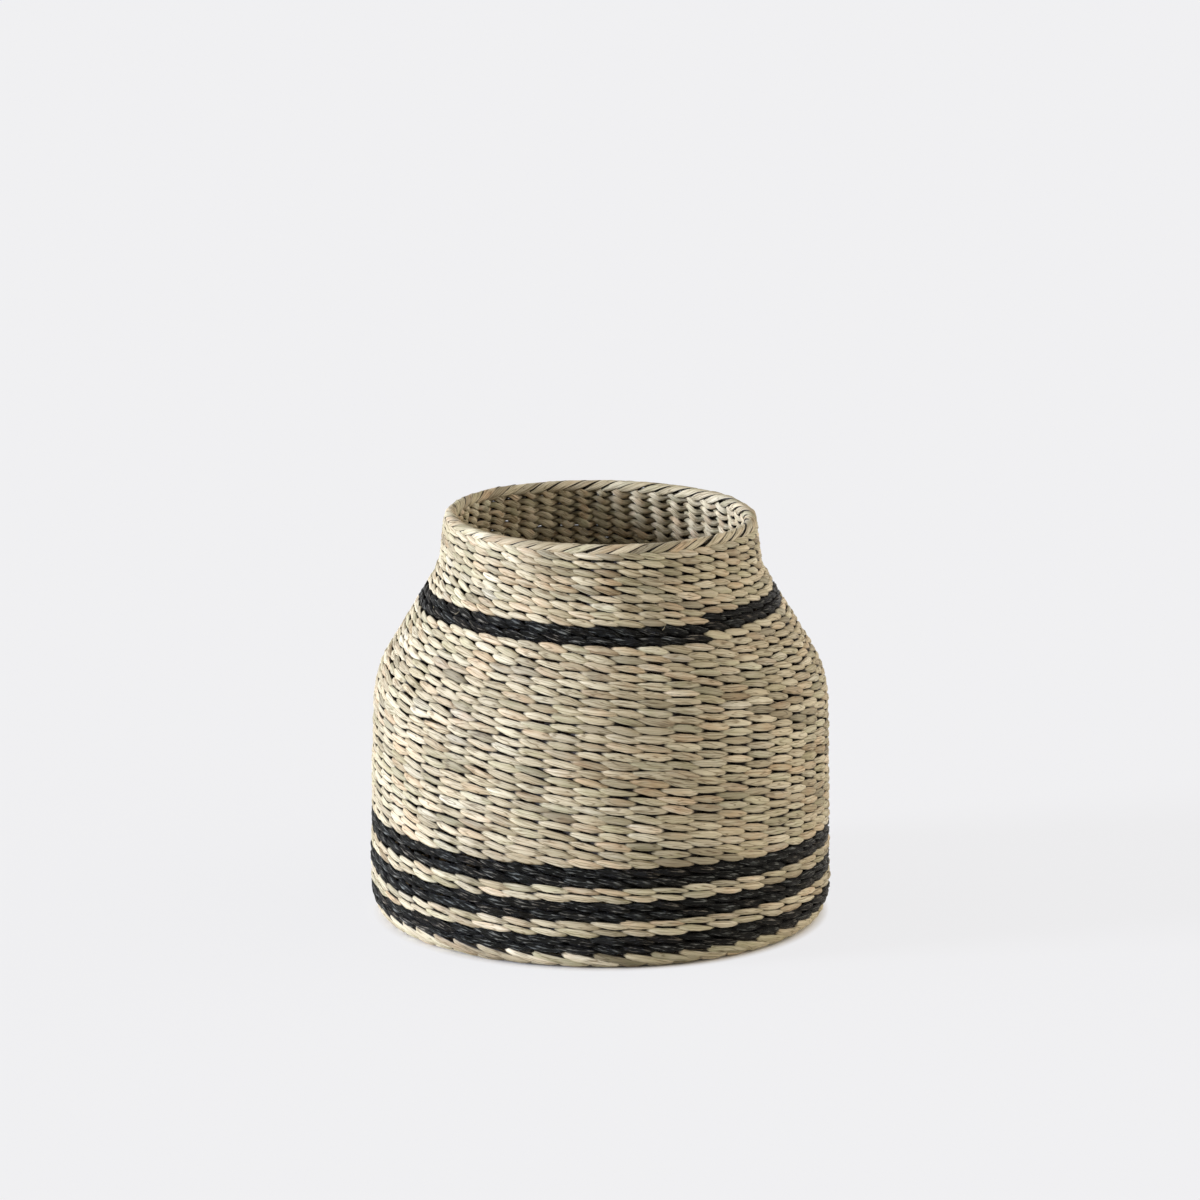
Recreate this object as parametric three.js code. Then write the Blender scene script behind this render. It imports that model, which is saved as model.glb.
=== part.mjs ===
// A pot-shaped woven planter: upright stakes spread from the base, turn up at the foot and carry
// rounds of twined weft, plain and black, up a bellied wall to a narrower neck and a folded rim.
// Lengths are millimetres and angles are degrees. +Z is up, and the planter stands on z = 0.

import * as THREE from 'three';

// Stakes: long and short ones alternate, so that they lie as close at the base as on the wall.
const stakePairCount = 24;
const stakeThickness = 2.4;
const stakeWidth = 3.4;
const longStakeStart = 20;
const shortStakeStart = 48;
const firstGapAngle = -88;

// Weft: the floats outside the stakes, those inside them, and how far a float crowns.
const outerWeftThickness = 2.9;
const innerWeftThickness = 1.9;
const floatCrown = 1.7;
const clearance = 0.3;

// Heights of one round of weft, measured along the wall.
const footPitch = 11.6;
const blackPitch = 5.88;
const stripePitch = 4.6;
const bodyPitch = 5.47;
const neckPitch = 4.95;
const rimPitch = 5.2;

// Rounds in each band, and how the body's and the neck's share out over the wall's shape.
const bandRoundCount = 2;
const bodyRoundCount = 25;
const uprightRoundCount = 13;
const neckRoundCount = 9;
const slopingRoundCount = 2;

// The wall's side view: it leans out at the foot, stands nearly upright at the belly,
// slopes in over the shoulder and stands up again at the neck.
const footRadius = 134;
const footLean = 44.7;
const footBend = 27;
const bellyLean = -1.2;
const kneeBend = 60;
const shoulderLean = -30.4;
const neckBend = 30;
const neckLean = -6.2;

// Base: a twined disc under the stakes, held clear of the floor by the foot round.
const baseLift = 1.2;
const baseThickness = 3;
const baseRingDepth = 0.8;
const baseRingCount = 5;
const baseKnotRadius = 16;
const footSeatWidth = 9;

// Rim: the stake ends are folded down into one round that caps the whole wall.
const rimCrown = 1.3;

const naturalColour = 0xb7a582;
const stakeColour = 0xa08c66;
const blackColour = 0x17181b;

const stakeCount = 2 * stakePairCount;
const { degToRad } = THREE.MathUtils;

// Stakes stand, and floats crown, halfway from one gap to the next and halfway up a round.
const midGapShare = 0.5;
const midRoundShare = 0.5;

// How much a ring of straight facets is widened, so that it clears the stakes, which lie
// a quarter of a facet from its corners, as a true circle would.
const facetShare = Math.cos(Math.PI / stakeCount) / Math.cos(Math.PI / stakePairCount);

// Bands from the floor up. Each has its rounds, their pitch and the number of floats round it.
function band(name, rounds, pitch, colour, floats = stakeCount) {
  return { name, rounds, pitch, colour, floats };
}

const bands = [
  band('foot_wale', 1, footPitch, naturalColour, stakePairCount),
  band('black_band_low', bandRoundCount, blackPitch, blackColour),
  band('natural_band_low', bandRoundCount, stripePitch, naturalColour),
  band('black_band_mid', bandRoundCount, blackPitch, blackColour),
  band('natural_band_mid', bandRoundCount, stripePitch, naturalColour),
  band('black_band_high', bandRoundCount, blackPitch, blackColour),
  band('body_weft', bodyRoundCount, bodyPitch, naturalColour),
  band('black_band_neck', bandRoundCount, blackPitch, blackColour),
  band('neck_weft', neckRoundCount, neckPitch, naturalColour),
  band('rim_border', 1, rimPitch, naturalColour),
];

// Where each band starts and ends along the wall.
let climbed = 0;
for (const each of bands) {
  each.start = climbed;
  climbed += each.rounds * each.pitch;
  each.end = climbed;
}
const wallLength = climbed;

function bandNamed(name) {
  return bands.find((each) => each.name === name);
}

// The wall as stretches: each starts at a lean and turns by a steady amount over its length.
const footArc = footBend * degToRad(footLean - bellyLean);
const kneeArc = kneeBend * degToRad(bellyLean - shoulderLean);
const neckArc = neckBend * degToRad(neckLean - shoulderLean);
const kneeStart = bandNamed('body_weft').start + uprightRoundCount * bodyPitch;
const kneeEnd = kneeStart + kneeArc;
const neckStart = bandNamed('neck_weft').start + slopingRoundCount * neckPitch;
const neckEnd = neckStart + neckArc;
const rimStart = bandNamed('rim_border').start;

const stretches = [
  { to: footArc, leanFrom: footLean, leanTo: bellyLean },
  { to: kneeStart, leanFrom: bellyLean, leanTo: bellyLean },
  { to: kneeEnd, leanFrom: bellyLean, leanTo: shoulderLean },
  { to: neckStart, leanFrom: shoulderLean, leanTo: shoulderLean },
  { to: neckEnd, leanFrom: shoulderLean, leanTo: neckLean },
  { to: wallLength, leanFrom: neckLean, leanTo: neckLean },
];

// The point of the wall's outer face at a distance along it, and its lean there in radians.
function wallAt(distance) {
  let radius = footRadius;
  let height = 0;
  let from = 0;
  let lean = degToRad(footLean);
  for (const stretch of stretches) {
    const reach = Math.min(distance, stretch.to) - from;
    const turn = degToRad(stretch.leanTo - stretch.leanFrom) * (reach / (stretch.to - from));
    lean = degToRad(stretch.leanFrom) + turn;
    const middle = degToRad(stretch.leanFrom) + turn / 2;
    const chord = turn === 0 ? reach : (reach * Math.sin(turn / 2)) / (turn / 2);
    radius += chord * Math.sin(middle);
    height += chord * Math.cos(middle);
    from = stretch.to;
    if (distance <= stretch.to) break;
  }
  return { radius, height, lean };
}

// A point set in from the wall's outer face.
function insideWall(distance, depth) {
  const { radius, height, lean } = wallAt(distance);
  return new THREE.Vector2(radius - depth * Math.cos(lean), height + depth * Math.sin(lean));
}

// The stakes' middle line: out along the base, up through the foot and along the wall.
const stakeDepth = outerWeftThickness + clearance + stakeThickness / 2;
const stakeFloor = baseLift + baseThickness + clearance + stakeThickness / 2;
const kneeMiddle = (kneeStart + kneeEnd) / 2;
const neckMiddle = (neckStart + neckEnd) / 2;
const wallLevels = [footPitch, footArc, kneeStart, kneeMiddle, kneeEnd, neckMiddle, rimStart - clearance / 2];
const wallLine = wallLevels.map((level) => insideWall(level, stakeDepth));
const turnUp = new THREE.Vector2(wallLine[0].x - (wallLine[0].y - stakeFloor), stakeFloor);
const levels = [0, ...wallLevels];
const middleLine = [turnUp, ...wallLine];

// That line moved sideways, out of the planter where the distance is positive.
function layer(distance) {
  return middleLine.map((point, index) => {
    const before = index === 0 ? new THREE.Vector2(1, 0) : direction(middleLine[index - 1], point);
    const last = index === middleLine.length - 1;
    const after = last ? before : direction(point, middleLine[index + 1]);
    const along = before.clone().add(after).normalize();
    const widening = 1 / along.dot(before);
    return new THREE.Vector2(along.y, -along.x).multiplyScalar(distance * widening).add(point);
  });
}

function direction(from, to) {
  return to.clone().sub(from).normalize();
}

// The layers that bound the outer weft, the stakes and the inner weft.
const weftBack = layer(stakeThickness / 2 + clearance);
const stakeOutside = layer(stakeThickness / 2);
const stakeInside = layer(-stakeThickness / 2);
const liningBack = layer(-stakeThickness / 2 - clearance);
const liningFace = layer(-stakeThickness / 2 - clearance - innerWeftThickness);

// The point of a layer at a distance along the wall.
function layerAt(line, distance) {
  const found = levels.findIndex((level) => level >= distance);
  const next = found === -1 ? levels.length - 1 : Math.max(found, 1);
  const share = (distance - levels[next - 1]) / (levels[next] - levels[next - 1]);
  return line[next - 1].clone().lerp(line[next], share);
}

// A skin that is put together ring by ring round the planter's axis.
class Skin {
  constructor() {
    this.points = [];
    this.faces = [];
  }

  // A ring of corners, from the first gap between stakes onwards.
  ring(count, point, turnShare = 0) {
    const corners = [];
    for (let index = 0; index < count; index += 1) {
      const angle = degToRad(firstGapAngle) + ((index + turnShare) / count) * 2 * Math.PI;
      corners.push(this.points.length / 3);
      this.points.push(point.x * Math.cos(angle), point.x * Math.sin(angle), point.y);
    }
    return corners;
  }

  // A ring of the coarse corners that face the stakes.
  backRing(point) {
    return this.ring(stakePairCount, new THREE.Vector2(point.x * facetShare, point.y));
  }

  // A strip between two rings, one of which may have twice the other's corners.
  bridge(from, to) {
    const steps = Math.min(from.length, to.length);
    for (let index = 0; index < steps; index += 1) {
      const next = (index + 1) % steps;
      if (from.length > steps) {
        const middle = from[2 * index + 1];
        this.faces.push(from[2 * index], middle, to[index]);
        this.faces.push(middle, from[2 * next], to[next]);
        this.faces.push(middle, to[next], to[index]);
      } else if (to.length > steps) {
        const middle = to[2 * index + 1];
        this.faces.push(from[index], middle, to[2 * index]);
        this.faces.push(from[index], from[next], middle);
        this.faces.push(from[next], to[2 * next], middle);
      } else {
        this.faces.push(from[index], from[next], to[next]);
        this.faces.push(from[index], to[next], to[index]);
      }
    }
  }

  // A float: a crown over its stake, with a facet down to each edge of its outline.
  float(outline, crown) {
    for (let side = 0; side < outline.length; side += 1) {
      this.faces.push(outline[side], outline[(side + 1) % outline.length], crown);
    }
  }

  geometry() {
    const geometry = new THREE.BufferGeometry();
    geometry.setAttribute('position', new THREE.Float32BufferAttribute(this.points, 3));
    geometry.setIndex(this.faces);
    geometry.computeVertexNormals();
    return geometry;
  }
}

// The float rows on a band's outer face. Every float slants down to its right by one round, so
// its corners lie at the middles of the rounds. It returns the band's first and last rings.
function floatRows(skin, each, firstPoint, start, end) {
  const pitch = (end - start) / each.rounds;
  const first = skin.ring(each.floats, firstPoint);
  const crowns = [];
  const corners = [];
  for (let round = 0; round < each.rounds; round += 1) {
    const middle = start + (round + midRoundShare) * pitch;
    crowns.push(skin.ring(each.floats, insideWall(middle, 0), midGapShare));
    corners.push(skin.ring(each.floats, insideWall(middle, floatCrown)));
  }
  const last = skin.ring(each.floats, insideWall(end, floatCrown));
  for (let round = 0; round < each.rounds; round += 1) {
    const level = corners[round];
    const below = corners[round - 1];
    const above = corners[round + 1];
    for (let left = 0; left < each.floats; left += 1) {
      const right = (left + 1) % each.floats;
      const underside = below ? [below[right]] : [first[left], first[right]];
      const topside = above ? [above[left]] : [last[right], last[left]];
      skin.float([level[left], ...underside, level[right], ...topside], crowns[round][left]);
    }
  }
  return { first, last };
}

// A band of twined rounds: floats outside and a plain back that faces the stakes.
function weftBand(each) {
  const skin = new Skin();
  const start = each.start + clearance / 2;
  const end = each.end - clearance / 2;
  const { first, last } = floatRows(skin, each, insideWall(start, floatCrown), start, end);
  const backLevels = [start, ...levels.filter((level) => level > start && level < end), end];
  let above = last;
  for (const level of backLevels.reverse()) {
    const back = skin.backRing(layerAt(weftBack, level));
    skin.bridge(above, back);
    above = back;
  }
  skin.bridge(above, first);
  return skin.geometry();
}

// The foot: one thick round of long floats that wraps under the turn of the stakes
// and stands on a flat seat.
function footWale(each) {
  const skin = new Skin();
  const end = each.end - clearance / 2;
  const ground = new THREE.Vector2(footRadius, 0);
  const { first, last } = floatRows(skin, each, ground, 0, end);
  const seatInside = footRadius - footSeatWidth;
  const backTop = skin.backRing(layerAt(weftBack, end));
  const backTurn = skin.backRing(weftBack[0]);
  const ledge = skin.ring(stakePairCount, new THREE.Vector2(seatInside, weftBack[0].y));
  const seat = skin.ring(stakePairCount, new THREE.Vector2(seatInside, 0));
  const loop = [last, backTop, backTurn, ledge, seat, first];
  for (let index = 1; index < loop.length; index += 1) {
    skin.bridge(loop[index - 1], loop[index]);
  }
  return skin.geometry();
}

// The rim: one round that covers the stake ends and both faces of the wall.
function rimBorder(each) {
  const skin = new Skin();
  const start = each.start + clearance / 2;
  const end = each.end - rimCrown;
  const wallThickness = outerWeftThickness + stakeThickness + innerWeftThickness + 2 * clearance;
  const { first, last } = floatRows(skin, each, insideWall(start, floatCrown), start, end);
  const crown = skin.backRing(insideWall(each.end, wallThickness / 2));
  const insideTop = skin.backRing(insideWall(end, wallThickness));
  const insideFoot = skin.backRing(insideWall(start, wallThickness));
  const loop = [last, crown, insideTop, insideFoot, first];
  for (let index = 1; index < loop.length; index += 1) {
    skin.bridge(loop[index - 1], loop[index]);
  }
  return skin.geometry();
}

// A solid turned about the upright axis from a half outline, faceted as the backs are.
function turned(outline) {
  const start = degToRad(firstGapAngle) + Math.PI / 2;
  const profile = outline.map((point) => new THREE.Vector2(point.x * facetShare, point.y));
  return new THREE.LatheGeometry(profile, stakePairCount, start).rotateX(Math.PI / 2);
}

// The inner weft: the floats inside the stakes, which line the floor and the wall.
function innerWeft() {
  const floorUnder = new THREE.Vector2(0, liningBack[0].y);
  const floorTop = new THREE.Vector2(0, liningFace[0].y);
  return turned([floorUnder, ...liningBack, ...liningFace.toReversed(), floorTop]);
}

// The base weft: twined rounds under the stakes, and the knot at the centre.
function baseWeft() {
  const under = baseLift + baseRingDepth;
  const top = baseLift + baseThickness;
  const edge = (footRadius - footSeatWidth - clearance) / facetShare;
  const outline = [new THREE.Vector2(0, baseLift), new THREE.Vector2(baseKnotRadius / 2, baseLift)];
  const ringWidth = (edge - baseKnotRadius) / baseRingCount;
  for (let index = 0; index < baseRingCount; index += 1) {
    const inside = baseKnotRadius + index * ringWidth;
    outline.push(new THREE.Vector2(inside, under));
    outline.push(new THREE.Vector2(inside + ringWidth / 2, baseLift));
  }
  outline.push(new THREE.Vector2(edge, under));
  outline.push(new THREE.Vector2(edge, top));
  outline.push(new THREE.Vector2(baseKnotRadius, top));
  outline.push(new THREE.Vector2(baseKnotRadius, top + stakeThickness));
  outline.push(new THREE.Vector2(0, top + stakeThickness));
  return turned(outline);
}

// One stake: its side view, cut from the two faces of its layer, as thick as it is wide.
function stake(startRadius) {
  const outside = [new THREE.Vector2(startRadius, stakeOutside[0].y), ...stakeOutside];
  const inside = [new THREE.Vector2(startRadius, stakeInside[0].y), ...stakeInside];
  const sideView = new THREE.Shape([...outside, ...inside.reverse()]);
  const settings = { depth: stakeWidth, bevelEnabled: false };
  const geometry = new THREE.ExtrudeGeometry(sideView, settings);
  return geometry.translate(0, 0, -stakeWidth / 2).rotateX(Math.PI / 2);
}

function piece(name, geometry, colour, roughness) {
  const material = new THREE.MeshStandardMaterial({ color: colour, roughness, metalness: 0 });
  const mesh = new THREE.Mesh(geometry, material);
  mesh.name = name;
  return mesh;
}

const naturalRoughness = 0.75;
const blackRoughness = 0.45;
const planter = new THREE.Group();

for (const each of bands) {
  const special = { foot_wale: footWale, rim_border: rimBorder };
  const make = special[each.name] ?? weftBand;
  const roughness = each.colour === blackColour ? blackRoughness : naturalRoughness;
  planter.add(piece(each.name, make(each), each.colour, roughness));
}
planter.add(piece('inner_weft', innerWeft(), naturalColour, naturalRoughness));
planter.add(piece('base_weft', baseWeft(), naturalColour, naturalRoughness));

for (let index = 0; index < stakeCount; index += 1) {
  const name = `stake_${String(index + 1).padStart(2, '0')}`;
  const start = index % 2 === 0 ? longStakeStart : shortStakeStart;
  const mesh = piece(name, stake(start), stakeColour, naturalRoughness);
  mesh.rotation.z = degToRad(firstGapAngle) + ((index + midGapShare) / stakeCount) * 2 * Math.PI;
  planter.add(mesh);
}

export default planter;
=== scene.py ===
import math

import bpy
import numpy as np
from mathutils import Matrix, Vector


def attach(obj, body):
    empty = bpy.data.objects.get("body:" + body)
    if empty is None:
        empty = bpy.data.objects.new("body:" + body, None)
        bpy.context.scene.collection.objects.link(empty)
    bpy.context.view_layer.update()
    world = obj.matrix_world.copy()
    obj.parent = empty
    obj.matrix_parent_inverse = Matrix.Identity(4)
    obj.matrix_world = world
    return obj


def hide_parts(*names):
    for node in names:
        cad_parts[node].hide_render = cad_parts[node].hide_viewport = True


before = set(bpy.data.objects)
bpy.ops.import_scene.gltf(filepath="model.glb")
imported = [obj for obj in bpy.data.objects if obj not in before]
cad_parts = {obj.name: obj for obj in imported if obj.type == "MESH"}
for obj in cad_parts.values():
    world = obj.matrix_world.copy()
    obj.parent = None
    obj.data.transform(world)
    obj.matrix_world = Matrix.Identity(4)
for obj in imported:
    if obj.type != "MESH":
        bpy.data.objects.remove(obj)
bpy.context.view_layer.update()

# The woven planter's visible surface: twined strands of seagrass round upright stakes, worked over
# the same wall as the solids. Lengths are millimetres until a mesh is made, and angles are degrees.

MM = 0.001

# The wall's side view, as in the solids: how far its outer face leans at each distance along it.
FOOT_RADIUS = 134.0
FOOT_LEAN = 44.7
FOOT_BEND = 27.0
BELLY_LEAN = -1.2
KNEE_BEND = 60.0
SHOULDER_LEAN = -30.4
NECK_BEND = 30.0
NECK_LEAN = -6.2
# The foot's underside turns level on a tighter bend than the solids show.
UNDER_BEND = 7.5
UNDER_LEAN = 36.0

# Rounds of weft and how far apart they lie, from the foot up. The body's first rounds stand
# upright, and the neck's first ones still slope.
FOOT_PITCH = 11.6
BLACK_PITCH = 5.88
STRIPE_PITCH = 4.6
BODY_PITCH = 5.47
NECK_PITCH = 4.95
RIM_PITCH = 5.2
UPRIGHT_ROUNDS = 13
SLOPING_NECK_ROUNDS = 2
BANDS = (
    ("black_band_low", 2, BLACK_PITCH, "black_weft"),
    ("natural_band_low", 2, STRIPE_PITCH, "natural_weft"),
    ("black_band_mid", 2, BLACK_PITCH, "black_weft"),
    ("natural_band_mid", 2, STRIPE_PITCH, "natural_weft"),
    ("black_band_high", 2, BLACK_PITCH, "black_weft"),
    ("body_weft", 25, BODY_PITCH, "natural_weft"),
    ("black_band_neck", 2, BLACK_PITCH, "black_weft"),
    ("neck_weft", 9, NECK_PITCH, "natural_weft"),
)

# Stakes, how deep their middle line lies under the crests of the floats, and the radii at which
# the long and the short ones start. Turns count stakes' spacings from the middle of the first gap.
STAKES = 48
FIRST_GAP = -88.0
STAKE_THICKNESS = 2.4
STAKE_WIDTH = 3.4
STAKE_DEPTH = 4.4
LONG_STAKE_START = 20.0
SHORT_STAKE_START = 48.0

# The base's strands lie this much higher than the foot's, and the lift fades over these distances.
BASE_LIFT = 1.6
BASE_LIFT_FADE = (-8.0, 0.5)

# A strand's swing from the middle of a float over one stake to the middle of its pass behind the
# next: how far along it is, in stakes, and there its step out, its fall and its half sizes. Two
# strands share each round, so a float ends in a point under the next one, past the gap at 0.5.
SWING_AT = (0, 0.14, 0.32, 0.48, 0.62, 0.75, 0.88, 1)
SWING_OUT = (2.95, 2.85, 2.42, 1.65, 0.5, -0.8, -1.85, -2.4)
SWING_FALL = (0, 0.36, 0.88, 1.27, 1.55, 1.6, 1.1, 0)
SWING_HALF_WIDTH = (2.6, 2.54, 2.2, 1.75, 1.8, 2.2, 2.55, 2.75)
SWING_HALF_THICKNESS = (1.3, 1.4, 1.75, 2.3, 2.3, 2.0, 1.6, 1.25)


def start_of(name):
    """The distance along the wall at which a band starts."""
    distance = FOOT_PITCH
    for band, rounds, pitch, _ in BANDS:
        if band == name:
            break
        distance += rounds * pitch
    return distance


FOOT_ARC = FOOT_BEND * math.radians(FOOT_LEAN - BELLY_LEAN)
KNEE_START = start_of("body_weft") + UPRIGHT_ROUNDS * BODY_PITCH
KNEE_END = KNEE_START + KNEE_BEND * math.radians(BELLY_LEAN - SHOULDER_LEAN)
NECK_START = start_of("neck_weft") + SLOPING_NECK_ROUNDS * NECK_PITCH
NECK_END = NECK_START + NECK_BEND * math.radians(NECK_LEAN - SHOULDER_LEAN)
RIM_START = start_of("rim")
WALL_END = RIM_START + RIM_PITCH
UNDER_TURN = FOOT_BEND * math.radians(FOOT_LEAN - UNDER_LEAN)
UNDER_START = UNDER_TURN - UNDER_BEND * math.radians(90 - UNDER_LEAN)

# The rail: radius, height and lean of the outer face at every distance, summed in small steps.
RAIL_STEP = 0.05
RAIL = np.arange(UNDER_START - FOOT_RADIUS, WALL_END + 2 * RIM_PITCH, RAIL_STEP)
LEAN = np.radians(np.interp(
    RAIL,
    (UNDER_START, UNDER_TURN, FOOT_ARC, KNEE_START, KNEE_END, NECK_START, NECK_END),
    (90, UNDER_LEAN, BELLY_LEAN, BELLY_LEAN, SHOULDER_LEAN, SHOULDER_LEAN, NECK_LEAN),
))
RADIUS = np.cumsum(np.sin(LEAN)) * RAIL_STEP
HEIGHT = np.cumsum(np.cos(LEAN)) * RAIL_STEP
foot_lean, belly_lean = math.radians(FOOT_LEAN), math.radians(BELLY_LEAN)
belly_radius = FOOT_RADIUS + FOOT_BEND * (math.cos(belly_lean) - math.cos(foot_lean))
belly_height = FOOT_BEND * (math.sin(foot_lean) - math.sin(belly_lean))
RADIUS += belly_radius - np.interp(FOOT_ARC, RAIL, RADIUS)
HEIGHT += belly_height - np.interp(FOOT_ARC, RAIL, HEIGHT)
UNDER_RADIUS = float(np.interp(UNDER_START, RAIL, RADIUS))


def smooth(value, low, high):
    """0 below low and 1 above high, with a soft step between."""
    share = np.clip((value - low) / (high - low), 0, 1)
    return share * share * (3 - 2 * share)


def base_distance(radius):
    """The distance along the wall, below zero, at which the base has a radius."""
    return UNDER_START - (UNDER_RADIUS - radius)


# Rounds sink to the right of the front by up to this much at these distances, as they were woven.
SINK_AT = (0, 30, 45, 55, 67, 100, 140, 190, 235, 258, 266)
SINK = (0, 0.2, 1.2, 2.0, 3.2, 3.9, 3.8, 3.0, 2.6, 1.6, 0.3)
# Stakes lean to the right on their way up, in stakes' spacings for each millimetre.
STAKE_LEAN = 0.0052
LEAN_MIDDLE = 135.0
# Stakes stand closer on the left of the front than on the right, by this share of a spacing.
CROWDING = 0.3
# Waves on top of that, round, along and out: each one's size, how many go round the wall, the
# distance along it over which the wave turns by a radian, and where it starts.
SWAY_WAVES = ((0.06, 5, 47, 1.3), (0.035, 11, 31, 0), (0.02, 17, -23, 2.1))
RIPPLE_WAVES = ((0.35, 3, 60, 0), (0.22, 9, 19, 0.7), (0.16, 21, -13, 0))
SWELL_WAVES = ((0.35, 4, 55, 0), (0.25, 7, -33, 1.9), (0.25, 15, 90, 0))
# The foot lies even on the floor, and ripples and swells grow over this distance above it.
EVEN_FOOT = 40.0


def waves_at(waves, angle, distance):
    """The sum of a set of waves at a spot on the wall."""
    return sum(size * np.sin(count * angle + distance / length + start)
               for size, count, length, start in waves)


def hand_drift(turn, distance):
    """The weaver's unevenness: how far a spot lies off its even place, round, along and out."""
    angle = 2 * math.pi * turn / STAKES
    from_front = angle + math.radians(FIRST_GAP + 90)
    above_foot = smooth(distance, 0, EVEN_FOOT)
    below_rim = 1 - smooth(distance, NECK_START, RIM_START)
    sway = STAKE_LEAN * (np.maximum(distance, 0) - LEAN_MIDDLE) + CROWDING * (1 - np.cos(from_front))
    sway += waves_at(SWAY_WAVES, angle, distance)
    rise = -np.interp(distance, SINK_AT, SINK) * np.sin(from_front)
    rise += waves_at(RIPPLE_WAVES, angle, distance) * above_foot * below_rim
    swell = waves_at(SWELL_WAVES, angle, distance) * above_foot
    return sway, rise, swell


# How far a point is moved to find which way is out.
PROBE = 0.5


def place(turn, distance, out):
    """Points from a turn in stakes' spacings, a distance along the wall and a step outwards."""
    sway, rise, swell = hand_drift(turn, distance)
    turn, distance, out = turn + sway, distance + rise, out + swell
    depth = STAKE_DEPTH - out + BASE_LIFT * (1 - smooth(distance, *BASE_LIFT_FADE))
    lean = np.interp(distance, RAIL, LEAN)
    radius = np.interp(distance, RAIL, RADIUS) - depth * np.cos(lean)
    height = np.interp(distance, RAIL, HEIGHT) + depth * np.sin(lean)
    angle = np.radians(FIRST_GAP) + 2 * math.pi * turn / STAKES
    return np.stack([radius * np.cos(angle), radius * np.sin(angle), height], axis=-1)


def unit(vectors):
    """Vectors brought to a length of one."""
    return vectors / np.maximum(np.linalg.norm(vectors, axis=-1, keepdims=True), 1e-9)


# The crown of a strand's section is this power of an ellipse's, which makes it fuller. Its folds
# move its sides by this share of what they move its crown.
CROWN_POWER = 0.8
SIDE_FOLD = 0.5


def corner_angles(corners):
    """The directions of a section's corners: from one side of the strand, over its crown."""
    return 2 * math.pi * np.arange(corners) / corners


def sweep(points, outward, half_width, half_thickness, twist, grooves, closed):
    """Ribbon strands swept along lines, as an array of strands by rings by corners.

    A strand is flat across and crowned outwards. Each of its corners runs a little in and out
    along the way, which leaves the soft folds that a twisted blade of grass has.
    """
    if closed:
        tangent = np.roll(points, -1, axis=1) - np.roll(points, 1, axis=1)
    else:
        tangent = np.gradient(points, axis=1)
    tangent = unit(tangent)
    across = unit(np.cross(outward, tangent))
    outward = np.cross(tangent, across)
    angle = corner_angles(grooves.shape[2])
    crown = np.sign(np.sin(angle)) * np.abs(np.sin(angle)) ** CROWN_POWER
    wide = half_width[..., None] * np.cos(angle) * (1 + SIDE_FOLD * grooves)
    thick = half_thickness[..., None] * crown + grooves * np.sign(crown) * np.sqrt(np.abs(crown))
    cos, sin = np.cos(twist)[..., None], np.sin(twist)[..., None]
    wide, thick = wide * cos - thick * sin, wide * sin + thick * cos
    flat = points[:, :, None] + wide[..., None] * across[:, :, None]
    return flat + thick[..., None] * outward[:, :, None]


# Folds: their beats as shares of what a piece asks for, and how far single corners stray from it.
FOLD_BEATS = (0.6, 1.1, 1.9)
FOLD_STRAY = (0.7, 1.3)
FOLD_DEPTH = 0.1


def soft_grooves(draw, strands, rings, corners, beats, depth=FOLD_DEPTH):
    """Low waves along every corner of a strand, each with its own beat."""
    travel = np.linspace(0, 2 * math.pi, rings, endpoint=False)[None, :, None]
    waves = np.zeros((strands, rings, corners))
    for share in FOLD_BEATS:
        beat = np.maximum(1, np.round(beats * share * draw.uniform(*FOLD_STRAY, (strands, 1, corners))))
        waves += depth * np.sin(travel * beat + draw.uniform(0, 2 * math.pi, (strands, 1, corners)))
    return waves


# How far it is round a strand where it is widest, how far apart strands lie in the map of their
# fibres, and the room left free at each edge and at the end of a strip in the baking map.
STRAND_GIRTH = 12.0
STRANDS_APART = 40.0
STRIP_EDGE = 0.05
STRIP_END = 1.01


def strand_mesh(name, body, closed):
    """A mesh from strands by rings by corners, and how many of its loops belong to end caps."""
    strands, rings, corners, _ = body.shape
    index = np.arange(strands * rings * corners).reshape(strands, rings, corners)
    last = rings if closed else rings - 1
    here, ahead = index[:, :last], np.roll(index, -1, axis=1)[:, :last]
    quads = np.stack([here, np.roll(here, -1, axis=2), np.roll(ahead, -1, axis=2), ahead], axis=-1)
    caps = np.empty((0, corners), int) if closed else np.concatenate([index[:, 0, ::-1], index[:, -1]])
    mesh = bpy.data.meshes.new(name)
    mesh.vertices.add(index.size)
    mesh.vertices.foreach_set("co", (body * MM).reshape(-1).astype(np.float32))
    mesh.loops.add(quads.size + caps.size)
    mesh.loops.foreach_set("vertex_index", np.concatenate([quads.reshape(-1), caps.reshape(-1)]))
    starts = np.concatenate([np.arange(0, quads.size, 4), quads.size + corners * np.arange(len(caps))])
    mesh.polygons.add(len(starts))
    mesh.polygons.foreach_set("loop_start", starts)
    mesh.polygons.foreach_set("use_smooth", np.ones(len(starts), bool))
    return mesh, caps.size


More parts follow.
